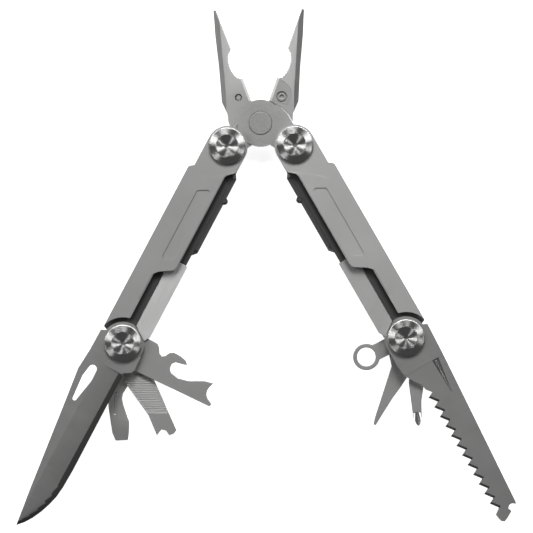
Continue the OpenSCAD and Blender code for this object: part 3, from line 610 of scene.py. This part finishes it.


# Slopes in degrees: a face with more than its piece's slope takes the edge slot, painted dark as shade, and
# one past WALL_SLOPE is a wall.
SHADED_SLOPE = {"knife": 6.3, "saw": 34, "cross_driver": 20}
WALL_SLOPE = 70
for node, piece in finished.items():
    edge = None if slot_of_node[node] == "turned_steel" else worn_edge_painted_dark
    wear(piece, own_finish[slot_of_node[node]], edge)
wear(finished["knife"], blade_steel["left"], honed_slope_painted_dark)
wear(finished["saw"], blade_steel["right"], honed_slope_painted_dark)
wear(finished["cross_driver"], tool_steel, honed_slope_painted_dark)
for node, slope in SHADED_SLOPE.items():
    for face in finished[node].data.polygons:
        tilt = abs(face.normal.z)
        if math.cos(math.radians(WALL_SLOPE)) < tilt < math.cos(math.radians(slope)):
            face.material_index = EDGE_SLOT
wear(finished["pivot_rivet"], rivet_steel, worn_edge_painted_dark)
# Each side's covers and leaves wear that side's grey, which is painted light.
for side in SIDES:
    wear(finished[f"{side}_front_cover"], cover_steel_painted_lit[side], cover_edge_painted_shade)
    wear(finished[f"{side}_rear_cover"], cover_steel_painted_lit[side], cover_edge_painted_shade)
    wear(finished[f"{side}_lock_leaf"], leaf_steel_painted_lit[side], worn_edge_painted_dark)
    # Spines, liners and spacers wear the steel painted dark as shade.
    for part in ("spine", "lock_liner", "blade_spacer"):
        wear(finished[f"{side}_{part}"], inner_steel_painted_shade)
    wear(finished[f"{side}_cutter_screw"], cover_steel_painted_lit["left"], worn_edge_painted_dark)
# The CAD nodes left inside: the springs take the right leaf's grey with its painted light, the rest the
# steel painted dark as shade.
for node, cad in frame["nodes"].items():
    if node not in finished:
        cad.material_slots[0].material = leaf_steel_painted_lit["right"] if "spring" in node else inner_steel_painted_shade
print(f"{len(finished)} finished pieces, {len(frame['nodes']) - len(finished)} CAD nodes with a finish")

# %% [markdown]
# ## The studio
# The tool lies on a white table under the camera, which glows a little so that it stays white beside
# the steel. Metal shows its surroundings, so the studio is drawn for what the steel should reflect:
# a big soft light beyond the jaw tips, a narrow one beside it and a third at the left, under a sky
# that is nearly black at the horizon and dark grey overhead. The turned heads show the three lights
# as bright wedges.

# %% Table
TABLE_SPANS = 12
TABLE_GAP = 0.05 * MM
TABLE_WHITE = 0.92
TABLE_GLOW = 0.8
bpy.ops.object.select_all(action="DESELECT")
table_size = TABLE_SPANS * max(cad_high - cad_low)
bpy.ops.mesh.primitive_plane_add(size=table_size, location=(0, 0, cad_low.z - TABLE_GAP))
table = bpy.context.object
table.name = "table"
bpy.ops.object.transform_apply()
white = bpy.data.materials.new("white table")
white.use_nodes = True
paint = white.node_tree.nodes["Principled BSDF"]
paint.inputs["Base Color"].default_value = (TABLE_WHITE, TABLE_WHITE, TABLE_WHITE, 1.0)
paint.inputs["Roughness"].default_value = 0.9
paint.inputs["Emission Color"].default_value = (1.0, 1.0, 1.0, 1.0)
paint.inputs["Emission Strength"].default_value = TABLE_GLOW
table.data.materials.append(white)
table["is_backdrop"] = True
print("table", tuple(round(x, 2) for x in table.dimensions))


# %% Lights
LIGHT_DISTANCE = 3.0
LIGHT_ELEVATION = 50


def soft_light(name, azimuth, width, height, watts):
    """An area light above the table, aimed at its middle; azimuth in degrees, counter-clockwise from +X."""
    lamp = bpy.data.lights.new(name, "AREA")
    lamp.shape = "RECTANGLE"
    lamp.size, lamp.size_y = width, height
    lamp.energy = watts
    turn = math.radians(azimuth)
    lift = math.radians(LIGHT_ELEVATION)
    away = Vector((math.cos(turn) * math.cos(lift), math.sin(turn) * math.cos(lift), math.sin(lift)))
    holder = bpy.data.objects.new(name, lamp)
    holder.location = away * LIGHT_DISTANCE
    holder.rotation_euler = (-away).to_track_quat("-Z", "Y").to_euler()
    holder.visible_camera = False
    bpy.context.scene.collection.objects.link(holder)
    print(name, tuple(round(x, 2) for x in holder.location))


soft_light("big soft light", azimuth=92, width=0.8, height=1.2, watts=50.0)
soft_light("narrow light", azimuth=48, width=0.2, height=1.4, watts=15.0)
soft_light("side light", azimuth=155, width=0.45, height=1.2, watts=16.0)

# %% Sky
HORIZON = 0.02
ZENITH = 0.1
world = bpy.data.worlds.new("studio")
bpy.context.scene.world = world
world.use_nodes = True
sky = world.node_tree.nodes["Background"]
way = world.node_tree.nodes.new("ShaderNodeTexCoord")
rise = world.node_tree.nodes.new("ShaderNodeSeparateXYZ")
join(world.node_tree, way.outputs["Generated"], rise.inputs["Vector"])
dim = world.node_tree.nodes.new("ShaderNodeMapRange")
join(world.node_tree, rise.outputs["Z"], dim.inputs["Value"])
join(world.node_tree, HORIZON, dim.inputs["To Min"])
join(world.node_tree, ZENITH, dim.inputs["To Max"])
join(world.node_tree, dim.outputs["Result"], sky.inputs["Color"])
print(f"sky from {HORIZON} at the horizon to {ZENITH} overhead")

# %% [markdown]
# ## The camera
# It looks straight down on the middle of the tool from far away, through a long lens, so that the
# tool's thickness hardly shows. At the level of the covers, the view is as wide as the tool is long,
# with a margin of a few millimetres.

# %% Camera
VIEW_WIDTH = 213.2 * MM
CAMERA_X = 0.16 * MM
CAMERA_Y = 0.03 * MM
CAMERA_HEIGHT = 1.6
SENSOR_WIDTH = 36.0
COVER_DROP = 1.4 * MM
camera = bpy.data.objects.new("camera", bpy.data.cameras.new("camera"))
camera.data.sensor_width = SENSOR_WIDTH
cover_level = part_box("left_lower_screw")[1].z - COVER_DROP
camera.data.lens = SENSOR_WIDTH * (CAMERA_HEIGHT - cover_level) / VIEW_WIDTH
camera.location = (CAMERA_X, CAMERA_Y, CAMERA_HEIGHT)
bpy.context.scene.collection.objects.link(camera)
bpy.context.scene.camera = camera
bpy.context.scene.view_settings.view_transform = "Standard"
print(f"lens {camera.data.lens:.0f} mm")

# %% Sizes, and the end
low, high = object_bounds()
print("grew by", [round(1000 * x, 3) for x in (*(cad_low - low), *(high - cad_high))], "mm")
